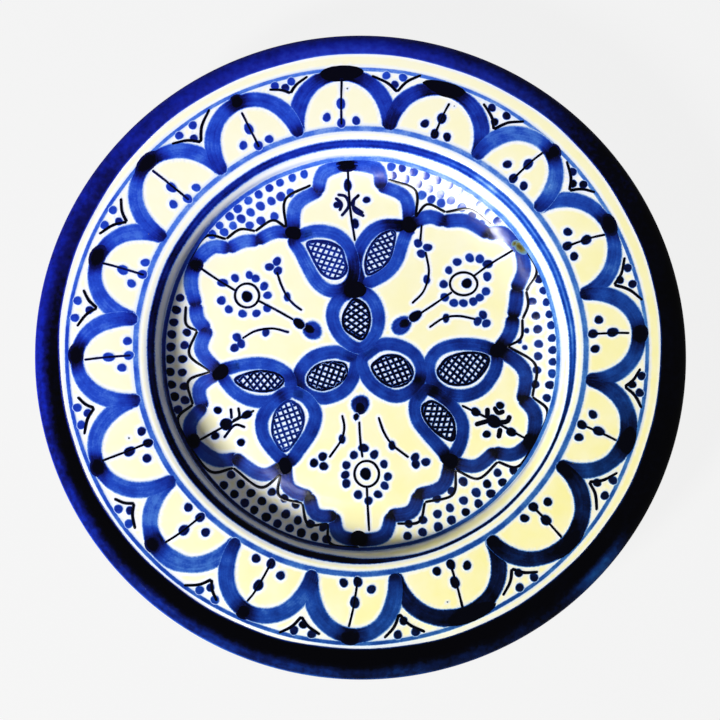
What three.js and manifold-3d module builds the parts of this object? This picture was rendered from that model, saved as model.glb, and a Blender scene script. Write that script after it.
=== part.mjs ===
// Hand painted earthenware serving plate.
//
// A thrown clay body carries a white glaze on its face and back and a cobalt glaze over its edge.
// The brush decoration lies on the face glaze: plain rings put on at the wheel, a garland of arches
// round the rim, and in the well a scalloped star that is tied to nine petals with hatched cells.
//
// Millimetres, +Z up. The origin is the centre of the foot ring's standing face.

import * as THREE from "three";
import { mergeVertices } from "three/addons/utils/BufferGeometryUtils.js";
import Module from "manifold-3d";

const wasm = await Module();
wasm.setup();

// ---- Driving dimensions ----

const PLATE_RADIUS = 150;
const PLATE_HEIGHT = 36.8;
const WELL_RADIUS = 93.4; // where the wall of the well stands upright
const FOOT_RADIUS = 72; // outside of the standing face
const FOOT_WIDTH = 8;
const FOOT_HEIGHT = 9; // depth of the hollow inside the foot ring
const FLOOR_THICKNESS = 9.5; // in the middle of the well, glaze included
const FLOOR_RISE = 1; // from the middle of the well to where it starts to curve up
const COVE_WIDTH = 23.4; // wide rounding between the floor and the wall of the well
const COVE_HEIGHT = 5;
const SHOULDER_WIDTH = 8.8; // rounding between the wall of the well and the rim
const RIM_RISE = 3.5; // from the shoulder to the crest of the lip
const RIM_THICKNESS = 6.5;
const LIP_WIDTH = 8; // from the crest of the lip to its outermost line
const LIP_DROP = 5.3;
const LIP_UNDERCUT = 2.9; // height of the rounding under the outermost line
const LIP_UNDER_WIDTH = 6;
const BACK_BEND_SHIFT = 2.3; // the bend on the back lies outside the bend on the face
const FOOT_FLARE = 3; // the foot widens by this much where it meets the body
const FOOT_FILLET = 1.2;
const GLAZE_THICKNESS = 0.6;
const BARE_FOOT_HEIGHT = 4.5; // the foot is wiped clean of glaze up to here
const FOOT_CHAMFER = 0.8;

const EDGE_BAND_WIDTH = 10.7; // cobalt glaze on the face side of the lip
const PAINT_THICKNESS = 0.15;
const PAINT_CLEARANCE = 0.3; // under and between brushed figures
const OUTER_LINE_WIDTH = 1.5;
const OUTER_LINE_INSET = 5.7; // from the edge band
const FOOT_LINE_WIDTH = 2.2; // line that the arches stand on
const FOOT_LINE_INSET = 0.4; // from the shoulder
const SHOULDER_LINE_INSET = 2.4; // from the wall of the well
const SHOULDER_LINE_WIDTH = 2.9;
const WELL_LINE_WIDTH = 2.2;

const ARCH_COUNT = 16;
const ARCH_STROKE = 8.4;
const ARCH_NECK = 13.5; // height at which the strokes of neighbouring arches part

const LOBE_COUNT = 3; // three long lobes, with three short ones between them
const STAR_STROKE = 7;
const SCALLOP_BULGE = 0.2; // height of a scallop as a share of its chord
const STAR_NODE_RADIUS = 63; // where a long lobe meets a short one
const STAR_NODE_ANGLE = 25; // measured from the middle of the short lobe
const SHORT_LOBE_ANGLE = 90;

const PETAL_STROKE = 6.8;
const PETAL_HALO = 2.3; // white line between the stroke and the cell
const LEAF_POINTEDNESS = 0.35;
const INNER_CELL = { length: 20, width: 12 };
const OUTER_CELL = { length: 24, width: 12 };
const INNER_PETAL_RADIUS = 19.5;
const OUTER_PETAL_RADIUS = 46.5;
const OUTER_PETAL_ANGLE = 15; // each side of the middle of the short lobe
const OUTER_PETAL_TILT = 25;

const LATHE_SEGMENTS = 48;
const DEGREE = Math.PI / 180;

// ---- Profile of the glazed plate ----

const point = (radius, height) => new THREE.Vector2(radius, height);
const last = (list) => list[list.length - 1];

function steps(count) {
  return Array.from({ length: count + 1 }, (_, index) => index / count);
}

// Part of an ellipse, with its angles in degrees from the +radius direction.
function ellipseArc(centre, halfWidth, halfHeight, from, to, count) {
  return steps(count).map((share) => {
    const angle = (from + (to - from) * share) * DEGREE;
    return point(centre.x + halfWidth * Math.cos(angle), centre.y + halfHeight * Math.sin(angle));
  });
}

const middleHeight = FOOT_HEIGHT + FLOOR_THICKNESS;
const floorRadius = WELL_RADIUS - COVE_WIDTH;
const floorHeight = middleHeight + FLOOR_RISE;
const wallHeight = floorHeight + COVE_HEIGHT;
const rimRadius = WELL_RADIUS + SHOULDER_WIDTH;
const rimHeight = PLATE_HEIGHT - RIM_RISE;
const shoulderHeight = rimHeight - wallHeight;
const bandRadius = PLATE_RADIUS - EDGE_BAND_WIDTH;
const crestRadius = PLATE_RADIUS - LIP_WIDTH;
const lipHeight = PLATE_HEIGHT - LIP_DROP;

const outerLine = { outer: bandRadius - OUTER_LINE_INSET };
outerLine.inner = outerLine.outer - OUTER_LINE_WIDTH;
const footLine = { inner: rimRadius + FOOT_LINE_INSET };
footLine.outer = footLine.inner + FOOT_LINE_WIDTH;
const shoulderLine = { inner: WELL_RADIUS + SHOULDER_LINE_INSET };
shoulderLine.outer = shoulderLine.inner + SHOULDER_LINE_WIDTH;
const wellLine = { inner: WELL_RADIUS - WELL_LINE_WIDTH, outer: WELL_RADIUS };

// The floor is a shallow dish.
const dish = (radius) => middleHeight + FLOOR_RISE * (radius / floorRadius) ** 2;
const floorCurve = [0, 0.5, 1].map((share) => point(floorRadius * share, dish(floorRadius * share)));

function coveAt(radius) {
  const across = Math.min(1, (radius - floorRadius) / COVE_WIDTH);
  return point(radius, wallHeight - COVE_HEIGHT * Math.sqrt(1 - across ** 2));
}

function shoulderAt(radius) {
  const across = (rimRadius - radius) / SHOULDER_WIDTH;
  return point(radius, wallHeight + shoulderHeight * Math.sqrt(Math.max(0, 1 - across ** 2)));
}

const rimSlope = RIM_RISE / (crestRadius - rimRadius);
const rimAt = (radius) => point(radius, rimHeight + rimSlope * (radius - rimRadius));

const coveCurve = [0.35, 0.6, 0.77].map((share) => coveAt(floorRadius + COVE_WIDTH * share));

const faceCurve = [
  ...floorCurve,
  ...coveCurve,
  coveAt(wellLine.inner),
  coveAt(wellLine.outer),
  shoulderAt(shoulderLine.inner),
  shoulderAt(shoulderLine.outer),
  rimAt(rimRadius),
  rimAt(footLine.inner),
  rimAt(footLine.outer),
  rimAt(outerLine.inner),
  rimAt(outerLine.outer),
  rimAt(bandRadius),
];

const lipTop = ellipseArc(point(crestRadius, lipHeight), LIP_WIDTH, LIP_DROP, 90, 0, 4);
const lipUnderCentre = point(PLATE_RADIUS - LIP_UNDER_WIDTH, lipHeight);
const lipUnder = ellipseArc(lipUnderCentre, LIP_UNDER_WIDTH, LIP_UNDERCUT, 0, -90, 3).slice(1);
const lipCurve = [...lipTop, ...lipUnder];

// Under the rim the wall keeps its thickness, then it swings down to the foot.
const backBend = point(rimRadius + BACK_BEND_SHIFT, rimHeight - RIM_THICKNESS);
const footTop = point(FOOT_RADIUS + FOOT_FLARE, FOOT_HEIGHT + FOOT_FILLET);
const backPull = point((rimRadius + WELL_RADIUS) / 2, middleHeight - FOOT_FILLET);
const backSweep = new THREE.QuadraticBezierCurve(backBend, backPull, footTop);
const backCurve = [
  point(bandRadius, rimAt(bandRadius).y - RIM_THICKNESS),
  ...backSweep.getPoints(4),
  point(FOOT_RADIUS + GLAZE_THICKNESS, BARE_FOOT_HEIGHT),
];

// Standing ring of bare clay.
const footInside = FOOT_RADIUS - FOOT_WIDTH;
const bareFoot = [
  point(FOOT_RADIUS, FOOT_CHAMFER),
  point(FOOT_RADIUS - FOOT_CHAMFER, 0),
  point(footInside + FOOT_CHAMFER, 0),
  point(footInside, FOOT_CHAMFER),
];

const recessRadius = footInside - FOOT_FLARE;
const recessCurve = [
  point(footInside - GLAZE_THICKNESS, FOOT_HEIGHT - 2 * FOOT_FILLET),
  point(recessRadius, FOOT_HEIGHT),
  point(0, FOOT_HEIGHT),
];

// ---- Coats: bands of the profile pushed in or out by a thickness ----

// Each point with the direction that leads out of the plate there.
function withNormals(curve) {
  return curve.map((here, index) => {
    const before = curve[Math.max(0, index - 1)];
    const after = curve[Math.min(curve.length - 1, index + 1)];
    const along = point(after.x - before.x, after.y - before.y).normalize();
    const normal = here.x === 0 ? point(0, Math.sign(along.x)) : point(-along.y, along.x);
    return { here, normal };
  });
}

const shifted = (skin, distance) =>
  skin.map(({ here, normal }) => point(here.x + normal.x * distance, here.y + normal.y * distance));

const frontSkin = withNormals([...faceCurve, ...lipCurve, ...backCurve]);
const recessSkin = withNormals(recessCurve);
const bandStart = faceCurve.length - 1;
const bandEnd = faceCurve.length + lipCurve.length - 1;

function skinBetween(innerRadius, outerRadius) {
  const onFace = frontSkin.slice(0, bandStart + 1);
  return onFace.filter(({ here }) => here.x >= innerRadius && here.x <= outerRadius);
}

// A loop from one side of a band to the other and back. A side on the axis needs no closing line.
function bandLoop(skin, lower, upper) {
  const loop = [...shifted(skin, upper), ...shifted(skin, lower).reverse()];
  const touchesAxis = skin[0].here.x === 0 || last(skin).here.x === 0;
  if (!touchesAxis) return [...loop, loop[0].clone()];
  const before = (index) => loop[(index + loop.length - 1) % loop.length];
  const start = loop.findIndex((corner, index) => corner.x === 0 && before(index).x === 0);
  return [...loop.slice(start), ...loop.slice(0, start)];
}

// ---- Solids ----

function volume(geometry) {
  const positions = geometry.getAttribute("position");
  const corners = geometry.index.array;
  const [a, b, c] = [new THREE.Vector3(), new THREE.Vector3(), new THREE.Vector3()];
  let total = 0;
  for (let i = 0; i < corners.length; i += 3) {
    a.fromBufferAttribute(positions, corners[i]);
    b.fromBufferAttribute(positions, corners[i + 1]);
    c.fromBufferAttribute(positions, corners[i + 2]);
    total += a.dot(b.cross(c)) / 6;
  }
  return total;
}

function turned(loop) {
  const build = (profile) => new THREE.LatheGeometry(profile, LATHE_SEGMENTS).rotateX(Math.PI / 2);
  const solid = build(loop);
  return volume(solid) > 0 ? solid : build([...loop].reverse());
}

const coat = (skin) => turned(bandLoop(skin, -GLAZE_THICKNESS, 0));
const wheelLine = (line) => turned(bandLoop(skinBetween(line.inner, line.outer), 0, PAINT_THICKNESS));

function toManifold(geometry) {
  const bare = geometry.clone();
  bare.deleteAttribute("normal");
  bare.deleteAttribute("uv");
  const merged = mergeVertices(bare, 1e-4);
  const vertProperties = new Float32Array(merged.getAttribute("position").array);
  const triVerts = new Uint32Array(merged.index.array);
  return new wasm.Manifold(new wasm.Mesh({ numProp: 3, vertProperties, triVerts }));
}

// A flat figure of paint, before it is laid on the plate.
function flatFigure(outline, hole) {
  const shape = new THREE.Shape(outline);
  if (hole) shape.holes.push(new THREE.Path(hole));
  return toManifold(new THREE.ExtrudeGeometry(shape, { depth: PAINT_THICKNESS, bevelEnabled: false }));
}

const joined = (figures) => figures.reduce((whole, figure) => whole.add(figure));

function faceHeight(radius) {
  const next = faceCurve.findIndex((corner, index) => index > 0 && corner.x >= radius);
  const [low, high] = [faceCurve[next - 1], faceCurve[next]];
  return low.y + ((high.y - low.y) * (radius - low.x)) / (high.x - low.x);
}

// Lets a flat figure down onto the face, just clear of the glaze.
function draped(figure) {
  const mesh = figure.getMesh();
  const positions = Float32Array.from(mesh.vertProperties);
  for (let i = 0; i < positions.length; i += 3) {
    positions[i + 2] += faceHeight(Math.hypot(positions[i], positions[i + 1])) + PAINT_CLEARANCE;
  }
  const geometry = new THREE.BufferGeometry();
  geometry.setAttribute("position", new THREE.BufferAttribute(positions, 3));
  geometry.setIndex(new THREE.BufferAttribute(Uint32Array.from(mesh.triVerts), 1));
  return geometry;
}

function polar(radius, degrees) {
  return point(radius * Math.cos(degrees * DEGREE), radius * Math.sin(degrees * DEGREE));
}

// ---- Garland of arches on the rim ----

function archGarland() {
  const pitch = 360 / ARCH_COUNT;
  const base = footLine.outer + PAINT_CLEARANCE;
  const crown = outerLine.inner - PAINT_CLEARANCE;
  const height = crown - base;
  const neckShare = Math.min(ARCH_NECK / height, 0.9);
  const outerReach = pitch / 2 / Math.sqrt(1 - neckShare ** 2);
  const strokeAngle = ARCH_STROKE / 2 / base / DEGREE;
  const outline = [];
  const opening = [];
  for (let arch = 0; arch < ARCH_COUNT; arch++) {
    const middle = arch * pitch;
    for (const share of steps(8).slice(0, -1)) {
      const turn = pitch * (share - 0.5);
      const radius = base + height * Math.sqrt(1 - (turn / outerReach) ** 2);
      outline.push(polar(radius, middle + turn));
    }
    for (const share of steps(9)) {
      const sweep = Math.PI * share;
      const turn = -(pitch / 2 - strokeAngle) * Math.cos(sweep);
      opening.push(polar(base + (height - ARCH_STROKE) * Math.sin(sweep), middle + turn));
    }
  }
  return draped(flatFigure(outline, opening));
}

// ---- Scalloped star and petals in the well ----

// A brush stroke of even width along a scallop between two cusps, bulging away from the centre.
function scallop(from, to, width) {
  const chord = to.clone().sub(from);
  const out = point(-chord.y, chord.x);
  if (out.dot(from.clone().add(to)) < 0) out.negate();
  const top = from.clone().add(to).multiplyScalar(0.5).addScaledVector(out, 2 * SCALLOP_BULGE);
  const path = new THREE.QuadraticBezierCurve(from, top, to);
  const side = (share, sign) => {
    const along = path.getTangent(share);
    return path.getPoint(share).add(point(-along.y, along.x).multiplyScalar((sign * width) / 2));
  };
  const roundEnd = (share, sign) => {
    const along = path.getTangent(share);
    const direction = Math.atan2(along.y, along.x) / DEGREE;
    return [-45, 0, 45].map((turn) => path.getPoint(share).add(polar((sign * width) / 2, direction + turn)));
  };
  const there = steps(3).map((share) => side(share, -1));
  const back = steps(3).map((share) => side(1 - share, 1));
  return flatFigure([...there, ...roundEnd(1, 1), ...back, ...roundEnd(0, -1)]);
}

// Cusps of half a lobe, as turns from its middle and radii.
const starTip = wellLine.inner - PAINT_CLEARANCE - STAR_STROKE / 2;
const longLobe = [
  { turn: 180 / LOBE_COUNT - STAR_NODE_ANGLE, radius: STAR_NODE_RADIUS },
  { turn: 21, radius: 0.81 * starTip },
  { turn: 10, radius: 0.88 * starTip },
  { turn: 0, radius: starTip - 1 },
];
const shortLobe = [
  { turn: STAR_NODE_ANGLE, radius: STAR_NODE_RADIUS },
  { turn: 12, radius: 0.88 * starTip },
  { turn: 0, radius: starTip },
];

function lobeStrokes(middle, cusps, width) {
  const strokes = [];
  for (const side of [-1, 1]) {
    const corners = cusps.map(({ turn, radius }) => polar(radius, middle + side * turn));
    for (let i = 1; i < corners.length; i++) {
      strokes.push(scallop(corners[i - 1], corners[i], width));
    }
  }
  return strokes;
}

function starFigure(width) {
  const strokes = [];
  for (let lobe = 0; lobe < LOBE_COUNT; lobe++) {
    const middle = SHORT_LOBE_ANGLE + (lobe * 360) / LOBE_COUNT;
    strokes.push(...lobeStrokes(middle, shortLobe, width));
    strokes.push(...lobeStrokes(middle + 180 / LOBE_COUNT, longLobe, width));
  }
  return joined(strokes);
}

// Leaf with two pointed ends, about its own middle.
function leafOutline({ length, width }, place, count) {
  return steps(count).slice(0, -1).map((share) => {
    const sweep = 2 * Math.PI * share;
    const across = Math.sin(sweep) * Math.abs(Math.sin(sweep)) ** LEAF_POINTEDNESS;
    const corner = point((length / 2) * Math.cos(sweep), (width / 2) * across);
    return corner.rotateAround(point(0, 0), place.tilt * DEGREE).add(place.middle);
  });
}

const grown = ({ length, width }, margin) => ({ length: length + 2 * margin, width: width + 2 * margin });

function petalPlaces() {
  const places = [];
  for (let lobe = 0; lobe < LOBE_COUNT; lobe++) {
    const angle = SHORT_LOBE_ANGLE + (lobe * 360) / LOBE_COUNT;
    places.push({ cell: INNER_CELL, middle: polar(INNER_PETAL_RADIUS, angle), tilt: angle });
    for (const side of [-1, 1]) {
      const middle = polar(OUTER_PETAL_RADIUS, angle + side * OUTER_PETAL_ANGLE);
      places.push({ cell: OUTER_CELL, middle, tilt: angle + side * (OUTER_PETAL_ANGLE + OUTER_PETAL_TILT) });
    }
  }
  return places;
}

const petals = petalPlaces();

function petalWeb() {
  const outsides = petals.map((place) => {
    return flatFigure(leafOutline(grown(place.cell, PETAL_HALO + PETAL_STROKE), place, 20));
  });
  const windows = petals.map((place) => flatFigure(leafOutline(grown(place.cell, PETAL_HALO), place, 16)));
  const web = joined(outsides).subtract(joined(windows));
  const starWithMargin = starFigure(STAR_STROKE + 2 * PAINT_CLEARANCE);
  return draped(web.subtract(starWithMargin));
}

const hatchedCell = (place) => draped(flatFigure(leafOutline(place.cell, place, 16)));

// ---- Materials ----

const finish = (color, roughness) => new THREE.MeshStandardMaterial({ color, roughness, metalness: 0 });
const whiteGlaze = () => finish("#f6f1d2", 0.15);
const cobalt = () => finish("#2848cc", 0.18);
const paleCobalt = () => finish("#4a78dd", 0.18);
const darkCobalt = () => finish("#12155e", 0.18);
const redClay = () => finish("#c9a27e", 0.85);

// ---- Assembly ----

const plate = new THREE.Group();

function addPiece(name, geometry, material) {
  const mesh = new THREE.Mesh(geometry, material);
  mesh.name = name;
  plate.add(mesh);
}

const clayCurve = [
  ...shifted(frontSkin, -GLAZE_THICKNESS),
  ...bareFoot,
  ...shifted(recessSkin, -GLAZE_THICKNESS),
];

addPiece("clay_body", turned(clayCurve), redClay());
addPiece("face_glaze", coat(frontSkin.slice(0, bandStart + 1)), whiteGlaze());
addPiece("edge_band", coat(frontSkin.slice(bandStart, bandEnd + 1)), darkCobalt());
addPiece("back_glaze", coat(frontSkin.slice(bandEnd)), whiteGlaze());
addPiece("foot_recess_glaze", coat(recessSkin), whiteGlaze());
addPiece("outer_line", wheelLine(outerLine), paleCobalt());
addPiece("arch_garland", archGarland(), cobalt());
addPiece("arch_foot_line", wheelLine(footLine), paleCobalt());
addPiece("shoulder_line", wheelLine(shoulderLine), cobalt());
addPiece("well_line", wheelLine(wellLine), paleCobalt());
addPiece("star_border", draped(starFigure(STAR_STROKE)), cobalt());
addPiece("petal_web", petalWeb(), cobalt());
petals.forEach((place, index) => addPiece(`hatched_cell_${index + 1}`, hatchedCell(place), darkCobalt()));

export default plate;
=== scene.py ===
# Hand painted earthenware serving plate: the finished surface and its brushwork.
#
# Sizes are in millimetres from the plate's axis, and are turned to metres when a mesh is filled.

import math
import random

import bpy
import numpy as np
from mathutils import Matrix, Vector
from mathutils.kdtree import KDTree

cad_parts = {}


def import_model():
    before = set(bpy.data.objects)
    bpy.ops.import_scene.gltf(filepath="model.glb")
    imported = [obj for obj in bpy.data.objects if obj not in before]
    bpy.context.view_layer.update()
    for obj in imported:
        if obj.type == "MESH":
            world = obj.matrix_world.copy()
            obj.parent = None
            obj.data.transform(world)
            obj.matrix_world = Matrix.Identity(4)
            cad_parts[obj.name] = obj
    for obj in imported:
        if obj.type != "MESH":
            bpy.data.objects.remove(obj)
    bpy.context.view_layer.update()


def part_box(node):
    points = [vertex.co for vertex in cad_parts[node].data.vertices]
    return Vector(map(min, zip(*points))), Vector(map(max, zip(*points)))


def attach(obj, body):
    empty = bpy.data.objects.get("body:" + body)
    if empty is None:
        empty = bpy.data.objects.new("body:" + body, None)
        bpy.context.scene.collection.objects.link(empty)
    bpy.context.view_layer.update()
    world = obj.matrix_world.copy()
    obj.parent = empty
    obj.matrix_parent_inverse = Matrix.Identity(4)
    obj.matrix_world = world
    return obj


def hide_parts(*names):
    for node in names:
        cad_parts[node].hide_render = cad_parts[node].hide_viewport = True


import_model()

MM = 0.001
hand = random.Random(11)

# ---- Sizes, from the frame ----


def reach(name):
    """Outer radius and top of a node."""
    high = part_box(name)[1]
    return high[0] / MM, high[2] / MM


PLATE_RADIUS, CREST_HEIGHT = reach("edge_band")
WELL_RADIUS = reach("well_line")[0]
FOOT_LINE_OUTER = reach("arch_foot_line")[0]
OUTER_LINE_OUTER = reach("outer_line")[0]
SHOULDER_LINE_OUTER = reach("shoulder_line")[0]
RECESS_TOP = reach("foot_recess_glaze")[1]
BARE_FOOT_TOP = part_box("back_glaze")[0][2] / MM

GLAZE_THICKNESS = 0.6
FLOOR_THICKNESS = 9.5
FOOT_HEIGHT = RECESS_TOP - GLAZE_THICKNESS
MIDDLE_HEIGHT = FOOT_HEIGHT + FLOOR_THICKNESS
FLOOR_RISE = 1.0
COVE_WIDTH = 23.4
COVE_HEIGHT = 5.0
FLOOR_RADIUS = WELL_RADIUS - COVE_WIDTH
WALL_HEIGHT = MIDDLE_HEIGHT + FLOOR_RISE + COVE_HEIGHT
SHOULDER_WIDTH = 8.8
RIM_RADIUS = WELL_RADIUS + SHOULDER_WIDTH
RIM_RISE = 3.5
RIM_HEIGHT = CREST_HEIGHT - RIM_RISE
SHOULDER_HEIGHT = RIM_HEIGHT - WALL_HEIGHT
RIM_THICKNESS = 6.5
LIP_WIDTH = 8.0
LIP_DROP = 5.3
LIP_UNDERCUT = 2.9
LIP_UNDER_WIDTH = 6.0
CREST_RADIUS = PLATE_RADIUS - LIP_WIDTH
RIM_SLOPE = RIM_RISE / (CREST_RADIUS - RIM_RADIUS)
BAND_RADIUS = PLATE_RADIUS - 10.7
FOOT_RADIUS = 72.0
FOOT_WIDTH = 8.0
FOOT_CHAMFER = 0.8
RECESS_CORNER_WIDTH = 3.0
RECESS_CORNER_HEIGHT = 2.4


def rising(value, start, width):
    """0 up to a start, then evenly up to 1 over a width."""
    return np.clip((value - start) / width, 0, 1)


def face_height(radius):
    """Height of the white glaze on the face, before the plate's unevenness."""
    floor = MIDDLE_HEIGHT + FLOOR_RISE * (radius / FLOOR_RADIUS) ** 2
    cove_share = rising(radius, FLOOR_RADIUS, COVE_WIDTH)
    cove = WALL_HEIGHT - COVE_HEIGHT * np.sqrt(1 - cove_share ** 2)
    shoulder_share = np.clip((RIM_RADIUS - radius) / SHOULDER_WIDTH, 0, 1)
    shoulder = WALL_HEIGHT + SHOULDER_HEIGHT * np.sqrt(1 - shoulder_share ** 2)
    rim = RIM_HEIGHT + RIM_SLOPE * (radius - RIM_RADIUS)
    zones = [radius < FLOOR_RADIUS, radius < WELL_RADIUS, radius < RIM_RADIUS]
    return np.select(zones, [floor, cove, shoulder], rim)


def warp(x, y):
    """The rim sprang a little out of true as the plate dried."""
    turn = np.arctan2(y, x)
    share = rising(np.hypot(x, y), FOOT_RADIUS, PLATE_RADIUS - FOOT_RADIUS)
    return share ** 2 * (0.30 * np.sin(2 * turn + 0.7) + 0.14 * np.sin(3 * turn - 1.2))


def ripple(x, y):
    """Soft waves that the hand left in the face."""
    return 0.045 * np.sin(x / 12 + 1.3) * np.sin(y / 15 - 0.4) + 0.03 * np.sin(x / 23 + y / 19)


# ---- Mesh helpers ----


def deselect():
    if bpy.context.object and bpy.context.object.mode != "OBJECT":
        bpy.ops.object.mode_set(mode="OBJECT")
    bpy.ops.object.select_all(action="DESELECT")


def focus(piece):
    deselect()
    piece.select_set(True)
    bpy.context.view_layer.objects.active = piece


def coordinates(piece):
    """Vertex positions in millimetres."""
    flat = np.empty(len(piece.data.vertices) * 3)
    piece.data.vertices.foreach_get("co", flat)
    return flat.reshape(-1, 3) / MM


def polar_of(positions):
    """Radius, and angle in radians, of each vertex."""
    return np.hypot(positions[:, 0], positions[:, 1]), np.arctan2(positions[:, 1], positions[:, 0])


def place(piece, positions):
    piece.data.vertices.foreach_set("co", (positions * MM).ravel())
    piece.data.update()


def record(mesh, name, values):
    """Write one number, or one triple, for each vertex."""
    kind = "FLOAT" if values.ndim == 1 else "FLOAT_VECTOR"
    field = mesh.attributes.get(name) or mesh.attributes.new(name, kind, "POINT")
    field.data.foreach_set("value" if kind == "FLOAT" else "vector", values.ravel())


def arc(centre, half, start, end, count):
    """Points on an ellipse, with angles in degrees from the outward direction."""
    angles = np.radians(np.linspace(start, end, count))
    return [(centre[0] + half[0] * math.cos(a), centre[1] + half[1] * math.sin(a)) for a in angles]


def turned(name, loop, segments):
    """Spin a profile of radii and heights round the axis, as on a wheel."""
    count = len(loop)
    on_axis = loop[0][0] == 0 and loop[-1][0] == 0
    edges = [(i, i + 1) for i in range(count - 1)] + ([] if on_axis else [(count - 1, 0)])
    mesh = bpy.data.meshes.new(name)
    mesh.from_pydata([(r * MM, 0, z * MM) for r, z in loop], edges, [])
    piece = bpy.data.objects.new(name, mesh)
    bpy.context.collection.objects.link(piece)
    focus(piece)
    bpy.ops.object.mode_set(mode="EDIT")
    bpy.ops.mesh.select_all(action="SELECT")
    bpy.ops.mesh.spin(steps=segments, angle=2 * math.pi, center=(0, 0, 0), axis=(0, 0, 1))
    bpy.ops.mesh.select_all(action="SELECT")
    bpy.ops.mesh.remove_doubles(threshold=1e-6)
    bpy.ops.mesh.normals_make_consistent(inside=False)
    bpy.ops.object.mode_set(mode="OBJECT")
    bpy.ops.object.shade_smooth_by_angle(angle=math.radians(50))
    return piece


def pushed(curve, distance):
    """A profile moved out of the plate by a distance; the curve runs outwards over the face."""
    points = np.array(curve)
    along = np.gradient(points, axis=0)
    along /= np.hypot(along[:, 0], along[:, 1])[:, None]
    normal = np.stack([-along[:, 1], along[:, 0]], axis=1)
    on_axis = points[:, 0] == 0
    outward = along[0][0] if on_axis[0] else along[-1][0]
    normal[on_axis] = (0, np.sign(outward))
    return [tuple(p) for p in points + normal * distance]


# ---- Profile of the plate ----


def face_curve(end_radius):
    """From the axis out to a radius on the rim."""
    floor = [(r, float(face_height(r))) for r in np.linspace(0, FLOOR_RADIUS, 60)]
    cove = [(FLOOR_RADIUS + COVE_WIDTH * math.sin(a), WALL_HEIGHT - COVE_HEIGHT * math.cos(a))
            for a in np.linspace(0, math.pi / 2, 32)[1:]]
    shoulder = [(RIM_RADIUS - SHOULDER_WIDTH * math.cos(a), WALL_HEIGHT + SHOULDER_HEIGHT * math.sin(a))
                for a in np.linspace(0, math.pi / 2, 18)[1:]]
    rim = [(r, float(face_height(r))) for r in np.linspace(RIM_RADIUS, end_radius, 34)[1:]]
    return floor + cove + shoulder + rim


def lip_curve(start_radius):
    """From the rim over the lip to its underside."""
    rim = [(r, float(face_height(r))) for r in np.linspace(start_radius, BAND_RADIUS, 6)]
    lip_height = CREST_HEIGHT - LIP_DROP
    top = arc((CREST_RADIUS, lip_height), (LIP_WIDTH, LIP_DROP), 90, 0, 14)
    under = arc((PLATE_RADIUS - LIP_UNDER_WIDTH, lip_height), (LIP_UNDER_WIDTH, LIP_UNDERCUT), 0, -90, 8)
    return rim + top + under[1:]


def back_curve():
    """From the underside of the lip to where the glaze stops on the foot."""
    lip_end = (PLATE_RADIUS - LIP_UNDER_WIDTH, CREST_HEIGHT - LIP_DROP - LIP_UNDERCUT)
    under_band = (BAND_RADIUS, float(face_height(BAND_RADIUS)) - RIM_THICKNESS)
    bend = np.array((RIM_RADIUS + 2.3, RIM_HEIGHT - RIM_THICKNESS))
    pull = np.array(((RIM_RADIUS + WELL_RADIUS) / 2, MIDDLE_HEIGHT - 1.2))
    foot_top = np.array((FOOT_RADIUS + 3, FOOT_HEIGHT + 1.2))
    sweep = [tuple((1 - t) ** 2 * bend + 2 * t * (1 - t) * pull + t * t * foot_top)
             for t in np.linspace(0, 1, 20)]
    return [lip_end, under_band, *sweep, (FOOT_RADIUS + GLAZE_THICKNESS, BARE_FOOT_TOP)]


FOOT_INSIDE = FOOT_RADIUS - FOOT_WIDTH
bare_foot = [
    (FOOT_RADIUS, FOOT_CHAMFER),
    (FOOT_RADIUS - FOOT_CHAMFER, 0),
    (FOOT_INSIDE + FOOT_CHAMFER, 0),
    (FOOT_INSIDE, FOOT_CHAMFER),
]
recess_curve = [
    (FOOT_INSIDE - GLAZE_THICKNESS, FOOT_HEIGHT - RECESS_CORNER_HEIGHT),
    (FOOT_INSIDE - RECESS_CORNER_WIDTH, FOOT_HEIGHT),
    (0, FOOT_HEIGHT),
]

# ---- Materials ----


def tone(code):
    """sRGB hex to linear colour."""
    parts = [int(code[i:i + 2], 16) / 255 for i in (1, 3, 5)]
    return (*[p / 12.92 if p <= 0.04045 else ((p + 0.055) / 1.055) ** 2.4 for p in parts], 1.0)


def add(tree, kind, inputs=None, stops=None, **settings):
    """Add a shader node; inputs are sockets to link from, or plain values."""
    made = tree.nodes.new("ShaderNode" + kind)
    for name, value in settings.items():
        setattr(made, name, value)
    for name, source in (inputs or {}).items():
        if isinstance(source, bpy.types.NodeSocket):
            tree.links.new(source, made.inputs[name])
        else:
            made.inputs[name].default_value = source
    if stops:
        ramp = made.color_ramp
        while len(ramp.elements) < len(stops):
            ramp.elements.new(0.5)
        for element, (position, colour) in zip(ramp.elements, stops):
            element.position = position
            element.color = tone(colour)
    return made


def begin(name):
    """A new material with its tree, shader and object coordinates."""
    material = bpy.data.materials.new(name)
    material.use_nodes = True
    tree = material.node_tree
    tree.nodes.clear()
    shader = add(tree, "BsdfPrincipled")
    add(tree, "OutputMaterial", {"Surface": shader.outputs[0]})
    spot = add(tree, "TexCoord").outputs["Object"]
    return material, tree, shader, spot


def glossy_coat(tree, shader, spot, colour, roughness=0.12, peel_width=9.0, peel_depth=0.06):
    """Fired glaze over a colour: IOR 1.5, glassy, with a faint orange peel, its sizes in millimetres."""
    tree.links.new(colour, shader.inputs["Base Color"])
    shader.inputs["Roughness"].default_value = roughness
    shader.inputs["IOR"].default_value = 1.5
    peel = add(tree, "TexNoise", {"Vector": spot, "Scale": 1 / (peel_width * MM), "Detail": 3.0})
    relief = add(tree, "Bump", {"Height": peel.outputs[0], "Distance": peel_depth * MM, "Strength": 1.0})
    tree.links.new(relief.outputs[0], shader.inputs["Normal"])


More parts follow.
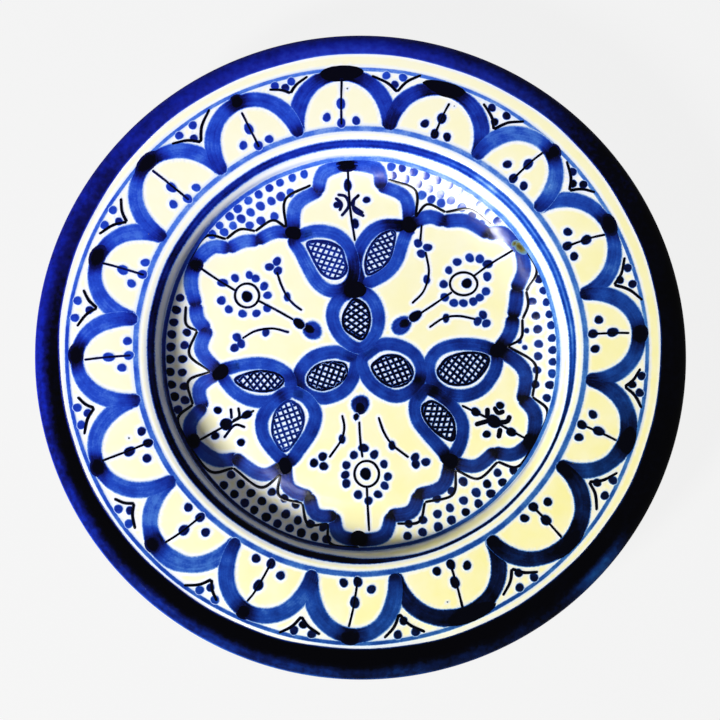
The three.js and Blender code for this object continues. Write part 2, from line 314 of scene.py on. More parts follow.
def varied(tree, value, *noises):
    """A value moved up and down by noises, each given with the whole span of its effect."""
    for noise, span in noises:
        centred = add(tree, "Math", {0: noise.outputs[0], 1: span, 2: -span / 2}, operation="MULTIPLY_ADD")
        value = add(tree, "Math", {0: value, 1: centred.outputs[0]}, operation="ADD").outputs[0]
    return value


def slant_share(tree, spot):
    """How far a spot lies from the upper left towards the lower right of the face, 0 to 1."""
    axes = add(tree, "SeparateXYZ", {"Vector": spot})
    slant = add(tree, "Math", {0: axes.outputs[0], 1: axes.outputs[1]}, operation="SUBTRACT")
    share = add(tree, "MapRange", {"Value": slant.outputs[0], "From Min": -0.13, "From Max": 0.16})
    return share.outputs[0]


def cobalt_colour(tree, spot, depth, positions, warm, cool):
    """Cobalt from faint to thick, warm at the upper left of the face; cool and darker at the lower right, a
    painted shade of the dimmer light there.
    """
    ramps = [add(tree, "ValToRGB", {"Fac": depth}, stops=list(zip(positions, colours))).outputs[0]
             for colours in (warm, cool)]
    mixed = add(tree, "Mix", {0: slant_share(tree, spot), 6: ramps[0], 7: ramps[1]}, data_type="RGBA")
    return mixed.outputs[2]


def white_tin_glaze(name, near, far):
    """Opaque tin glaze over red clay: cream, white beside the cobalt, glassy to the eye. Towards the lower
    right the cream turns yellower, a painted shade of dimmer, warmer light there.
    """
    material, tree, shader, spot = begin(name)
    slant = slant_share(tree, spot)
    # The mix from near to far makes the cream yellower towards the lower right: painted shade.
    cream = add(tree, "Mix", {0: slant, 6: tone(near), 7: tone(far)}, data_type="RGBA")
    cloud = add(tree, "TexNoise", {"Vector": spot, "Scale": 1 / (14 * MM), "Detail": 4.0})
    patchy = add(tree, "MapRange",
                 {"Value": cloud.outputs[0], "From Min": 0.35, "From Max": 0.75, "To Max": 0.35})
    broken = add(tree, "TexNoise", {"Vector": spot, "Scale": 1 / (2.5 * MM), "Detail": 2.0})
    halo = add(tree, "Attribute", attribute_name="halo")
    ragged = varied(tree, halo.outputs["Fac"], (broken, 0.5))
    whitened = add(tree, "MapRange", {"Value": ragged, "From Min": 0.2, "From Max": 0.8})
    bleed = add(tree, "Attribute", attribute_name="bleed")
    colour = cream.outputs[2]
    for share, tint in ((patchy.outputs[0], "#fffdf2"), (whitened.outputs[0], "#ffffff"),
                        (bleed.outputs["Fac"], "#b9cdf6")):
        colour = add(tree, "Mix", {0: share, 6: colour, 7: tone(tint)}, data_type="RGBA").outputs[2]
    glossy_coat(tree, shader, spot, colour)
    return material


def cobalt_brush_paint(name):
    """Cobalt oxide brushed under clear glaze: pale where the brush ran dry, black where it pooled."""
    material, tree, shader, spot = begin(name)
    load, edge, under = (add(tree, "Attribute", attribute_name=field).outputs["Fac"]
                         for field in ("load", "edge", "under"))
    brush = add(tree, "Attribute", attribute_name="brush").outputs["Vector"]
    hairs = add(tree, "Mapping", {"Vector": brush, "Scale": (0.05, 1.1, 1.0)})
    streak = add(tree, "TexNoise", {"Vector": hairs.outputs[0], "Scale": 1.0, "Detail": 3.0})
    pool = add(tree, "TexNoise", {"Vector": spot, "Scale": 1 / (7 * MM), "Detail": 3.0})
    grain = add(tree, "TexNoise", {"Vector": spot, "Scale": 1 / (0.9 * MM), "Detail": 2.0})
    thick = varied(tree, load, (streak, 0.24), (pool, 0.5), (grain, 0.16))
    border = varied(tree, edge, (grain, 0.6))
    inside = add(tree, "MapRange", {"Value": border}, interpolation_type="SMOOTHSTEP")
    depth = add(tree, "Mix", {0: inside.outputs[0], 2: under, 3: thick})
    # The second list of colours, cooler and darker, paints shade towards the lower right.
    colour = cobalt_colour(
        tree, spot, depth.outputs[0], (0.0, 0.1, 0.25, 0.42, 0.6, 0.78, 0.95),
        ("#d3e0fa", "#8fb0f0", "#4877e2", "#2048cc", "#132ba8", "#090f58", "#020210"),
        ("#d0e0ea", "#86aed0", "#4078b6", "#16458e", "#0a2a62", "#051236", "#01020a"))
    glossy_coat(tree, shader, spot, colour)
    return material


def cobalt_edge_glaze(name):
    """Thick cobalt glaze dipped over the lip: deep navy to black, blue where it thins and runs; its load also
    carries painted light, shade and reflections.
    """
    material, tree, shader, spot = begin(name)
    load = add(tree, "Attribute", attribute_name="load").outputs["Fac"]
    mottle = add(tree, "TexNoise", {"Vector": spot, "Scale": 1 / (2.5 * MM), "Detail": 5.0})
    drift = add(tree, "TexNoise", {"Vector": spot, "Scale": 1 / (22 * MM), "Detail": 2.0})
    depth = varied(tree, load, (mottle, 0.32), (drift, 0.3))
    # The second list of colours, cooler and darker, paints shade towards the lower right.
    colour = cobalt_colour(
        tree, spot, depth, (0.0, 0.18, 0.38, 0.55, 0.72, 0.88, 1.0),
        ("#7fa6ee", "#3c62dc", "#1b35bd", "#0f1e9c", "#070b58", "#020212", "#010104"),
        ("#7fa9cc", "#3a74ac", "#184c8c", "#0c2d66", "#051236", "#01020a", "#000003"))
    glossy_coat(tree, shader, spot, colour, roughness=0.2, peel_width=5.0, peel_depth=0.05)
    return material


def iron_stain(name):
    """Iron specks that melted out into the glaze: olive brown, with soft edges."""
    material, tree, shader, spot = begin(name)
    edge = add(tree, "Attribute", attribute_name="edge").outputs["Fac"]
    grain = add(tree, "TexNoise", {"Vector": spot, "Scale": 1 / (0.8 * MM), "Detail": 3.0})
    colour = add(tree, "ValToRGB", {"Fac": varied(tree, edge, (grain, 0.9))}, stops=[
        (0.0, "#5a84c8"), (0.35, "#5f7f86"), (0.7, "#6d6f3c"), (1.0, "#4f451f")])
    glossy_coat(tree, shader, spot, colour.outputs[0], roughness=0.14)
    return material


def bare_earthenware(name):
    """Turned and wiped earthenware: buff pink, chalky, with fine wheel marks and grog."""
    material, tree, shader, spot = begin(name)
    grog = add(tree, "TexNoise", {"Vector": spot, "Scale": 1 / (0.8 * MM), "Detail": 4.0})
    cloud = add(tree, "TexNoise", {"Vector": spot, "Scale": 1 / (9 * MM), "Detail": 3.0})
    mixed = add(tree, "Math", {0: grog.outputs[0], 1: cloud.outputs[0]}, operation="MULTIPLY")
    colour = add(tree, "ValToRGB", {"Fac": mixed.outputs[0]}, stops=[
        (0.1, "#a8744f"), (0.25, "#c39672"), (0.45, "#d3ad88")])
    tree.links.new(colour.outputs[0], shader.inputs["Base Color"])
    shader.inputs["Roughness"].default_value = 0.88
    shader.inputs["IOR"].default_value = 1.45
    rings = add(tree, "TexWave", {"Vector": spot, "Scale": 1 / (6.3 * MM), "Distortion": 1.5},
                wave_type="RINGS", rings_direction="Z")
    height = add(tree, "Math", {0: grog.outputs[0], 1: rings.outputs[1]}, operation="ADD")
    relief = add(tree, "Bump", {"Height": height.outputs[0], "Distance": 0.00012, "Strength": 0.8})
    tree.links.new(relief.outputs[0], shader.inputs["Normal"])
    return material


# Each glaze's third colour, the yellower one, is painted shade towards the lower right.
face_glaze = white_tin_glaze("white_tin_glaze", "#fefadb", "#faf2a4")
back_glaze = white_tin_glaze("white_tin_glaze_back", "#f7f0da", "#f0e6bf")
brush_cobalt = cobalt_brush_paint("cobalt_brush_paint")
edge_glaze = cobalt_edge_glaze("cobalt_edge_glaze")
iron_brown = iron_stain("iron_stain")
bare_clay = bare_earthenware("bare_earthenware")

# ---- The thrown plate and its coats of glaze ----

FACE_SEGMENTS = 600
BODY_SEGMENTS = 240
RECESS_SEGMENTS = 160
BAND_SEGMENTS = 480
RING_SEGMENTS = 420


def finish_piece(piece, material, slot, *nodes):
    piece.data.materials.clear()
    piece.data.materials.append(material)
    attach(piece, "root")
    if nodes:
        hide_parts(*nodes)


def settle(piece, rippled=False):
    positions = coordinates(piece)
    x, y = positions[:, 0], positions[:, 1]
    positions[:, 2] += warp(x, y) + (ripple(x, y) if rippled else 0)
    place(piece, positions)


front = face_curve(CREST_RADIUS - 1.2)
back = back_curve()

outer_skin = face_curve(BAND_RADIUS)[::2] + lip_curve(BAND_RADIUS)[6:] + back[1:]
body_loop = pushed(outer_skin, -GLAZE_THICKNESS) + bare_foot + pushed(recess_curve, -GLAZE_THICKNESS)
body = turned("thrown_body", body_loop, BODY_SEGMENTS)
settle(body)
finish_piece(body, bare_clay, "bare_clay", "clay_body")

front_under = pushed(front, -GLAZE_THICKNESS)[::-1]
face = turned("face_glaze_coat", [*front, *front_under[::6], front_under[-1]], FACE_SEGMENTS)
settle(face, rippled=True)

back_loop = pushed(back, 0) + pushed(back, -GLAZE_THICKNESS)[::-1]
back_coat = turned("back_glaze_coat", back_loop, BODY_SEGMENTS)
settle(back_coat)
finish_piece(back_coat, back_glaze, "white_glaze", "back_glaze")

recess_loop = pushed(recess_curve, 0) + pushed(recess_curve, -GLAZE_THICKNESS)[::-1]
recess = turned("foot_recess_coat", recess_loop, RECESS_SEGMENTS)
finish_piece(recess, back_glaze, "white_glaze", "foot_recess_glaze")

# ---- Cobalt glaze over the lip ----

BAND_LIFT = 0.12
BAND_START = BAND_RADIUS - 3
DIP_RADIUS = 137.8
DIP_FADE = 0.8
UPPER_SKIN = 33.0  # the band's points above this height lie on the face
SLOPE_START = 142.0
SLOPE_FADE = 4.5
GLINT_ANGLE = 316.5  # a painted glint: the lamp's reflection on the lip shows as paler blue round this angle
GLINT_SPREAD = 6.0
GLINT_START = 143.0
EDGE_REFLECTION_START = 149.2
EDGE_REFLECTION_FADE = 0.7

# Load of the band's glaze by angle, on its crest and its outer slope: painted light and shade, bluer at the
# upper left where it is lit and near black at the right and bottom in shade. Then how much paler the very
# edge is, a painted reflection strongest at the lower left.
BAND_ANGLES = (0, 30, 60, 90, 130, 170, 200, 230, 260, 300, 330, 360)
CREST_LOADS = (.98, .95, .62, .48, .58, .85, 1.05, 1.08, 1.1, 1.05, .98, .98)
SLOPE_LOADS = (.98, .92, .7, .58, .6, .64, .66, .66, .7, .85, .95, .98)
EDGE_REFLECTION_LOADS = (0, 0, 0, .1, .2, .3, .4, .45, .4, .15, 0, 0)


def band_inner(turn):
    """The dip line, a little off centre."""
    off_centre = 1.5 * np.cos(turn - math.radians(110))
    return DIP_RADIUS + off_centre + 0.18 * np.sin(9 * turn) + 0.1 * np.sin(23 * turn)


def edge_coat():
    curve = lip_curve(BAND_START)
    piece = turned("edge_cobalt_coat", pushed(curve, BAND_LIFT) + pushed(curve, -GLAZE_THICKNESS)[::-1],
                   BAND_SEGMENTS)
    positions = coordinates(piece)
    radius, turn = polar_of(positions)
    share = np.clip((CREST_RADIUS - radius) / (CREST_RADIUS - BAND_START), 0, 1)
    on_face = (positions[:, 2] > UPPER_SKIN) & (radius < CREST_RADIUS)
    moved = np.where(on_face, CREST_RADIUS - share * (CREST_RADIUS - band_inner(turn)), radius)
    positions[:, 2] += np.where(on_face, RIM_SLOPE * (moved - radius), 0)
    positions[:, 0] = moved * np.cos(turn)
    positions[:, 1] = moved * np.sin(turn)
    place(piece, positions)
    settle(piece)
    degrees = np.degrees(turn) % 360
    # The crest and slope loads paint light and shade by angle; the paler very edge and the glint are painted
    # reflections on the lip.
    crest, slope, edge_reflection = (np.interp(degrees, BAND_ANGLES, loads)
                          for loads in (CREST_LOADS, SLOPE_LOADS, EDGE_REFLECTION_LOADS))
    outward = rising(moved, SLOPE_START, SLOPE_FADE)
    # Painted glint: the load drops round one angle where a lamp's reflection on the lip is painted.
    glint = np.exp(-((degrees - GLINT_ANGLE) / GLINT_SPREAD) ** 2) * rising(moved, GLINT_START, 3)
    dipped = rising(moved, band_inner(turn), DIP_FADE)
    load = (crest * (1 - outward) + slope * outward) * (0.35 + 0.65 * dipped)
    record(piece.data, "load", load - edge_reflection * rising(moved, EDGE_REFLECTION_START, EDGE_REFLECTION_FADE) - 0.5 * glint)
    finish_piece(piece, edge_glaze, "edge_cobalt", "edge_band")


edge_coat()

# ---- Brush marks ----

# Each mark stands a little over the glaze, and later ones a little more, so that crossing strokes stay apart.
PAINT_DEPTH = 0.06  # how far a mark reaches down into the glaze
BASE_LIFT = 0.05
SHAKE = 0.04  # unsteadiness of the hand, as a share of a stroke's width
SWELL = 0.03  # extra height in the middle of a mark
SLAB_LENGTHS = (8, 14, 22, 36, 60, 90)  # faces along the template slabs
SLAB_FACE = 0.22  # length of a face along a stroke, as a share of the stroke's width
SLAB_FACE_MIN = 0.6
STREAK_SHIFT = 5.7  # moves the brush streaks from one mark to the next
LAYER_STEP = 0.008  # three heights in turn, so that neighbouring strokes don't coincide
WELL_REACH = WELL_RADIUS - 1.9  # marks in the well flatten against its wall from here
border_points = []
templates = {}
marks_made = 0


def sheet(along, across):
    """A flat closed slab, unit size, that brush strokes are bent from."""
    key = (along, across)
    if key not in templates:
        deselect()
        bpy.ops.mesh.primitive_grid_add(x_subdivisions=along, y_subdivisions=across, size=2)
        templates[key] = thickened(bpy.context.object)
    return templates[key]


def disc():
    """A flat closed round slab, unit size, that dots are pressed from."""
    if "disc" not in templates:
        deselect()
        bpy.ops.mesh.primitive_circle_add(vertices=16, radius=1, fill_type="NGON")
        piece = bpy.context.object
        bpy.ops.object.mode_set(mode="EDIT")
        bpy.ops.mesh.select_all(action="SELECT")
        bpy.ops.mesh.inset(thickness=0.28)
        bpy.ops.mesh.poke()
        bpy.ops.object.mode_set(mode="OBJECT")
        templates["disc"] = thickened(piece)
    return templates["disc"]


def thickened(piece):
    """A flat template given depth and the attributes that the paint reads; its mesh and unit shape."""
    wall = piece.modifiers.new("depth", "SOLIDIFY")
    wall.thickness = 1
    wall.offset = -1
    bpy.ops.object.modifier_apply(modifier=wall.name)
    mesh = piece.data
    unit = np.empty((len(mesh.vertices), 3))
    mesh.vertices.foreach_get("co", unit.ravel())
    for name in ("load", "edge", "under"):
        record(mesh, name, np.zeros(len(unit)))
    record(mesh, "brush", np.zeros(unit.shape))
    bpy.data.objects.remove(piece)
    return mesh, unit


def lay(family, mesh, x, y, depth, edge, load, brush, lift, under):
    """Put one mark down on the face and add it to its family."""
    copy = mesh.copy()
    radius = np.hypot(x, y)
    if np.median(radius) < WELL_RADIUS:
        held = np.where(radius > WELL_REACH, WELL_REACH + 0.12 * (radius - WELL_REACH), radius)
        x, y, radius = x * held / radius, y * held / radius, held
    swell = SWELL * np.clip(edge, 0, 1)
    top = face_height(radius) + warp(x, y) + ripple(x, y) + BASE_LIFT + lift + swell
    height = np.where(depth < -0.5, top - swell - lift - BASE_LIFT - PAINT_DEPTH, top)
    copy.vertices.foreach_set("co", (np.stack([x, y, height], axis=1) * MM).ravel())
    under = np.full_like(load, under)
    for name, values in (("load", load), ("edge", edge), ("under", under), ("brush", brush)):
        record(copy, name, values)
    piece = bpy.data.objects.new("mark", copy)
    bpy.context.collection.objects.link(piece)
    family.append(piece)
    rim = (edge < 0.02) & (depth > -0.5)
    border_points.extend(zip(x[rim], y[rim]))


def brush_path(points):
    """A smooth line through the points, with each sample's place among them."""
    dots = [np.array(p, float) for p in points]
    knots = [2 * dots[0] - dots[1], *dots, 2 * dots[-1] - dots[-2]]
    line, places = [], []
    for i in range(len(dots) - 1):
        a, b, c, d = knots[i:i + 4]
        for t in np.linspace(0, 1, 14, endpoint=False):
            line.append(0.5 * (2 * b + (c - a) * t + (2 * a - 5 * b + 4 * c - d) * t ** 2
                               + (3 * b - a - 3 * c + d) * t ** 3))
            places.append(i + t)
    return np.array(line + [dots[-1]]), np.array(places + [len(dots) - 1])


def stroke(family, points, width, load, lift=0.0, soft=0.75, end_soft=None, under=0.0):
    """One pull of the brush through points; width and load may be lists that go with them, and load may
    be a function of x and y. soft is how wide the sides fade, in mm, into the load of what lies under
    the mark, and end_soft how wide the ends do.
    """
    global marks_made
    marks_made += 1
    line, places = brush_path(points)
    steps = np.hypot(*np.diff(line, axis=0).T)
    length = np.concatenate([[0], np.cumsum(steps)])
    total = length[-1]
    wide = np.mean(width)
    fine = total / max(SLAB_FACE_MIN, SLAB_FACE * wide)
    along = next((n for n in SLAB_LENGTHS if n >= fine), SLAB_LENGTHS[-1])
    mesh, unit = sheet(along, 7 if wide > 2 else 4)
    u, v, depth = (unit[:, 0] + 1) / 2, unit[:, 1], unit[:, 2]
    v = np.sign(v) * np.abs(v) ** 0.8
    s = total * (0.6 * u + 0.4 * (0.5 - 0.5 * np.cos(math.pi * u)))
    place_at = np.interp(s, length, places)
    x, y = (np.interp(s, length, line[:, k]) for k in (0, 1))
    way = np.gradient(line, axis=0)
    way /= np.hypot(way[:, 0], way[:, 1])[:, None]
    tx, ty = (np.interp(s, length, way[:, k]) for k in (0, 1))
    indices = np.arange(len(points))
    half = np.interp(place_at, indices, np.broadcast_to(width, len(points))) / 2
    paint = load(x, y) if callable(load) else np.interp(place_at, indices, np.broadcast_to(load, len(points)))
    to_end = np.minimum(s, total - s)
    cap = np.clip(to_end / half, 0, 1)
    half = half * np.maximum(0.3, np.sqrt(1 - (1 - cap) ** 2))
    phase = hand.uniform(0, 6.28)
    half = half * (1 + SHAKE * np.sin(s / (1.1 * wide + 1) + phase))
    sway = SHAKE * wide * 0.5 * np.sin(s / (2.3 * wide + 2) + 1.7 * phase)
    offset = v * half + sway
    soft = min(soft, 0.3 * wide)
    edge = np.minimum(half * (1 - np.abs(v)) / soft, to_end / (end_soft or soft))
    brush = np.stack([s, v * half, np.full_like(s, STREAK_SHIFT * marks_made)], axis=1)
    lift = lift + LAYER_STEP * (marks_made % 3)
    lay(family, mesh, x - ty * offset, y + tx * offset, depth, edge, paint, brush, lift, under)


def fine_line(family, points, width, load, lift):
    """A line drawn with the tip of a pointed brush, crisp at its edges and dark over other marks."""
    stroke(family, points, width, load, lift, soft=0.07, under=0.6)


def dot(family, x, y, radius, load, stretch=1.0, turn=0.0, lift=0.0, soft=0.6, under=0.0):
    """A touch of the brush tip; stretch lengthens it along the turn, in degrees."""
    global marks_made
    marks_made += 1
    mesh, unit = disc()
    u, v, depth = unit.T
    u = np.where(np.abs(u) < 1e-6, 1e-6, u)
    distance = np.hypot(u, v)
    angle = np.arctan2(v, u)
    lumps = 1 + 0.04 * np.sin(2 * angle + hand.uniform(0, 6)) + 0.03 * np.sin(3 * angle + hand.uniform(0, 6))
    a, b = u * lumps * radius * stretch, v * lumps * radius
    c, s = math.cos(math.radians(turn)), math.sin(math.radians(turn))
    edge = radius * (1 - distance) / soft
    brush = np.stack([a, b, np.full_like(a, STREAK_SHIFT * marks_made)], axis=1)
    paint = np.full_like(a, load)
    lay(family, mesh, x + c * a - s * b, y + s * a + c * b, depth, edge, paint, brush, lift, under)


def gather(family, name, slot, *nodes, material=brush_cobalt):
    """Join a family of marks into one piece."""
    deselect()
    for piece in family:
        piece.select_set(True)
    whole = family[0]
    bpy.context.view_layer.objects.active = whole
    bpy.ops.object.join()
    whole.name = name
    whole.data.name = name
    bpy.ops.object.shade_smooth_by_angle(angle=math.radians(40))
    finish_piece(whole, material, slot, *nodes)
    return whole


def pooled(base, pools):
    """Paint load from a base function, with dark pools: x, y, size and how much darker each is."""
    def load(x, y):
        return base(x, y) + sum(dark * np.exp(-(np.hypot(x - px, y - py) / size) ** 2)
                                for px, py, size, dark in pools)
    return load


def polar(degrees, radius):
    return radius * math.cos(math.radians(degrees)), radius * math.sin(math.radians(degrees))


# ---- Plain rings put on at the wheel ----

RING_LIFT = 0.07
RING_DEPTH = 0.1
NOWHERE = ((0, 0),)


def at_angle(pairs, turn):
    """A value at an angle in radians, from pairs of degrees and values."""
    degrees, values = zip(*pairs)
    return np.interp(np.degrees(turn) % 360, degrees, values)


def still(turn):
    return 0 * turn


def wheel_ring(name, node, slot, inner, outer, loads, drift=still, hollow=NOWHERE, narrow=NOWHERE):
    """A painted ring; drift moves the line in or out by angle. Paired with degrees are loads, hollow
    (how much paler the middle is than the sides) and narrow (what share of the width is missing inside).
    """
    on_cove = inner < WELL_RADIUS <= outer + 0.01
    curve = [(r, float(face_height(r))) for r in np.linspace(inner, outer, 9)]
    if on_cove:
        first = math.asin((inner - FLOOR_RADIUS) / COVE_WIDTH)
        last = math.asin(min(1, (outer - FLOOR_RADIUS) / COVE_WIDTH))
        curve = [(FLOOR_RADIUS + COVE_WIDTH * math.sin(a), WALL_HEIGHT - COVE_HEIGHT * math.cos(a))
                 for a in np.linspace(first, last, 7)]
    piece = turned(name, pushed(curve, RING_LIFT) + pushed(curve, -RING_DEPTH)[::-1], RING_SEGMENTS)
    positions = coordinates(piece)
    radius, turn = polar_of(positions)
    middle, half = (inner + outer) / 2, (outer - inner) / 2
    moved = radius
    if not on_cove:
        kept = outer - (outer - radius) * (1 - at_angle(narrow, turn))
        moved = kept + drift(turn) + 0.12 * np.sin(7 * turn + inner) + 0.07 * np.sin(19 * turn)
    positions[:, 2] += face_height(moved) - face_height(radius)
    positions[:, 0], positions[:, 1] = moved * np.cos(turn), moved * np.sin(turn)
    place(piece, positions)
    settle(piece, rippled=True)
    middle_share = np.clip(1 - np.abs(radius - middle) / (0.55 * half), 0, 1)
    record(piece.data, "load", at_angle(loads, turn) - at_angle(hollow, turn) * middle_share)
    record(piece.data, "edge", np.clip(half - np.abs(radius - middle), 0, None) / (0.5 * half))
    record(piece.data, "under", 0 * turn)
    record(piece.data, "brush", np.stack([turn * middle, radius, np.full_like(turn, inner)], axis=1))
    finish_piece(piece, brush_cobalt, slot, node)
    for r in (inner, outer):
        angles = np.radians(np.arange(0, 360, 0.6))
        at = outer - (outer - r) * (1 - at_angle(narrow, angles)) + drift(angles)
        border_points.extend(zip(at * np.cos(angles), at * np.sin(angles)))


wheel_ring("outer_ring", "outer_line", "thin_cobalt", OUTER_LINE_OUTER - 1.6, OUTER_LINE_OUTER + 0.5,
           [(0, .32), (60, .27), (130, .32), (200, .42), (300, .4), (360, .32)],
           lambda turn: 2 * np.cos(turn - math.radians(205)))
wheel_ring("foot_ring", "arch_foot_line", "thin_cobalt", FOOT_LINE_OUTER - 2.6, FOOT_LINE_OUTER + .4,
           [(0, .3), (60, .24), (150, .28), (220, .36), (300, .42), (360, .3)],
           lambda turn: 0.4 * np.cos(turn - math.radians(140)))
# The shoulder ring's loads darken from the left round to the lower left, with its paler middle filled in, as
# painted shade of the shadowed wall; the pale dip near 52 degrees is a painted highlight.
wheel_ring("shoulder_ring", "shoulder_line", "brushed_cobalt",
           SHOULDER_LINE_OUTER - 3.4, SHOULDER_LINE_OUTER + .5,
           [(0, .6), (48, .5), (52, .3), (58, .6), (90, .68), (130, .72), (150, .8), (200, .9), (262, .98),
            (285, .82), (340, .8), (360, .6)],
           hollow=[(0, .3), (55, .3), (75, .12), (190, .1), (215, 0), (345, 0), (360, .3)],
           narrow=[(0, .1), (15, 0), (262, 0), (285, .55), (335, .6), (360, .1)])
# The well ring's loads darken from the left round to the lower left: painted shade of the wall's shadow
# there.
wheel_ring("well_ring", "well_line", "thin_cobalt", WELL_RADIUS - 2.2, WELL_RADIUS - 0.02,
           [(0, .25), (60, .2), (120, .3), (170, .6), (200, .85), (250, .8), (290, .45), (360, .25)])

# ---- Garland of arches on the rim ----

GARLAND_BASE = 103.6
FEET = (-8.1, 13.7, 38.5, 59.3, 83, 106.3, 128.2, 151, 173, 193.6, 215.5, 237.3, 257.8, 278.3, 303.5, 329)

# For each arch: angle of its top, inner and outer radius there, its darker dab from and to, paint load.
ARCHES = (
    (3.5, 124.5, 131.5, 0.5, 5, .5), (26.5, 125, 131.5, 24, 29, .45), (48.5, 124.8, 132, 44, 47.5, .35),
    (71, 125, 131.5, 67.5, 77, .6), (95, 126.5, 133.5, 89.5, 99, .55), (117, 125.5, 133, 115, 118.7, .45),
    (139.8, 128.5, 134.7, 136, 142.5, .4), (162, 125, 132, 158.5, 164, .4),
    (183, 127, 133.5, 179.5, 184.5, .4), (204.5, 128, 134.5, 203, 207, .4),
    (226.5, 125.5, 134, 222, 225.7, .36), (247.5, 127, 134, 244.5, 248, .45),
    (268.5, 127, 134.5, 265.5, 270, .48), (291, 126, 134, 287, 297, .82),
    (316.5, 125, 132.5, 312, 321, .78), (340.8, 124, 132, 337, 344, .6),
)


def arch_points(start, top, end, crown):
    """Centre line of an arch: an ellipse in angle and radius, in two halves."""
    height = crown - GARLAND_BASE
    points = []
    for side in np.linspace(-90, 90, 13):
        reach_angle = (top - start) if side < 0 else (end - top)
        degrees = top + math.sin(math.radians(side)) * reach_angle
        points.append(polar(degrees, GARLAND_BASE + height * math.cos(math.radians(side))))
    return points


def arch_load(middle, half_span, light, dark, feet):
    """Paint load along an arch: a dark dab at its crown and darker feet."""
    def load(x, y):
        degrees = np.degrees(np.arctan2(y, x))
        off = np.abs((degrees - middle + 180) % 360 - 180)
        radius = np.hypot(x, y)
        dab = np.clip((half_span + 1.7 - off) / 3.0, 0, 1) * rising(radius, 117, 5)
        foot = np.clip((115 - radius) / 9, 0, 1)
        return light + (dark - light) * dab + feet * foot
    return load


DAB_RADIUS = 3.7
arches = []
for i, (top, inner, outer, dab_from, dab_to, load) in enumerate(ARCHES):
    start = FEET[i]
    end = FEET[(i + 1) % len(FEET)] + (360 if i == len(ARCHES) - 1 else 0)
    crown = (inner + outer) / 2
    thick = outer - inner
    widths = [6.2, 7.4, 8.2, 8.0, 7.6, thick + .3, thick, thick + .3, 7.6, 8.0, 8.2, 7.4, 6.2]
    middle = (dab_from + dab_to) / 2
    load_here = arch_load(middle, (dab_to - dab_from) / 2, load, max(.92, load + .15), .32)
    stroke(arches, arch_points(start, top, end, crown), widths, load_here, soft=1.0)
    half_length = math.radians(dab_to - dab_from) / 2 * crown
    dot(arches, *polar(middle, crown + .4), DAB_RADIUS, 1.05, max(1, half_length / DAB_RADIUS), middle + 90,
        0.03, soft=2.2, under=load + .4)
gather(arches, "arch_strokes", "brushed_cobalt", "arch_garland")

# Inside each arch: a stem from its top and four touches round its end.
# Top angle and radius, then the bottom angle, and the radius of the dot half way down.
STEMS = (
    (3, 122.5, 3.4, 116), (25, 124, 26.5, 116), (47.3, 124.5, 48.4, 116.5), (70.4, 122, 71.3, 115),
    (94.3, 127, 95.2, 116), (117, 123.5, 117, 116), (139.8, 127, 139.4, 116), (162.2, 125, 161.7, 116),
    (183, 126, 182.3, 116), (204.2, 128, 204.6, 116), (225.3, 125, 226.9, 116), (246, 125.5, 247.5, 118),
    (267.3, 126, 269, 116), (290.8, 126, 292, 115), (316, 124.5, 316.7, 115), (339.6, 123, 340.4, 115),
)
DRY_STEMS = (4, 5, 6, 7, 8)  # painted with less cobalt on the brush
stems = []
stem_dots = []
for i, (top, radius, bottom, middle) in enumerate(STEMS):
    load = .38 + .4 * ARCHES[i][5] + (0 if i in DRY_STEMS else .3)
    centre = (top + bottom) / 2
    points = [polar(top, radius + 1), polar(centre, middle + 2), polar(bottom, 106)]
    fine_line(stems, points, [1.15, 1.0, 1.15], load + .35, 0.07)
    dot(stem_dots, *polar(centre + hand.uniform(-.1, .3), middle), 2.4, load, 1.25, bottom, 0.03)
    dot(stem_dots, *polar(bottom, 106.9), 2.3, load, 1.15, bottom, 0.03)
    dot(stem_dots, *polar(bottom - hand.uniform(3.0, 3.8), 107.6), 2.15, load, 1.1, bottom + 30, 0.03)
    dot(stem_dots, *polar(bottom + hand.uniform(2.9, 3.5), 110.3), 2.15, load, 1.1, bottom - 30, 0.03)
gather(stems, "arch_stems", "dark_cobalt")
gather(stem_dots, "arch_stem_dots", "dark_cobalt")

# Between the arches: a drawn V with three dots. Angle and radius of its point, then of its two ends.
CHEVRONS = (
    (14, 120.5, 9.5, 131.5, 19, 129), (37.3, 122, 33.8, 131, 42.5, 130), (59, 120.5, 54.5, 131.3, 63.7, 129),
    (82.2, 122.5, 77.8, 132.3, 88, 129), (105.6, 125, 101.3, 131, 109.7, 129.5),
    (128, 122.5, 122.5, 133, 133, 130.3), (152, 123.5, 148.3, 131.5, 156.8, 132.2),
    (171.8, 123, 168.6, 130.7, 176.2, 130.8),
    (193.3, 125.2, 190.4, 131.5, 198, 132.3), (215, 125.5, 212, 131.7, 219.3, 131.7),
    (237.5, 125.5, 233.7, 134.5, 240.7, 132.3), (257.5, 125.2, 254, 134.5, 261.8, 131.5),
    (277.8, 122.3, 274.3, 132, 282.3, 132), (303.7, 121.5, 299.2, 129.5, 307.7, 129.5),
    (329, 120.5, 324.8, 130, 333.5, 129.7), (351.3, 122, 347.5, 131, 355.5, 128.3),
)
chevrons = []
for degrees, radius, left, left_radius, right, right_radius in CHEVRONS:
    for end, end_radius in ((left, left_radius), (right, right_radius)):
        middle = polar(degrees * .6 + end * .4, radius * .45 + end_radius * .55)
        points = [polar(degrees, radius), middle, polar(end, end_radius)]
        fine_line(chevrons, points, [1.45, 1.4, 1.2], 1.15, 0.07)
    load = .55 if 60 < degrees < 240 else .85
    out = 130.6 + 1.9 * math.cos(math.radians(degrees - 205))
    dot(chevrons, *polar(degrees - .8, out), 2.2, load, lift=0.03)
    dot(chevrons, *polar(degrees + 2.7, out), 2.2, load, lift=0.03)
    dot(chevrons, *polar(degrees + .7, radius + 3.2), 2.1, load + .2, lift=0.03)
gather(chevrons, "spandrel_chevrons", "dark_cobalt")

# ---- Scalloped star in the well ----

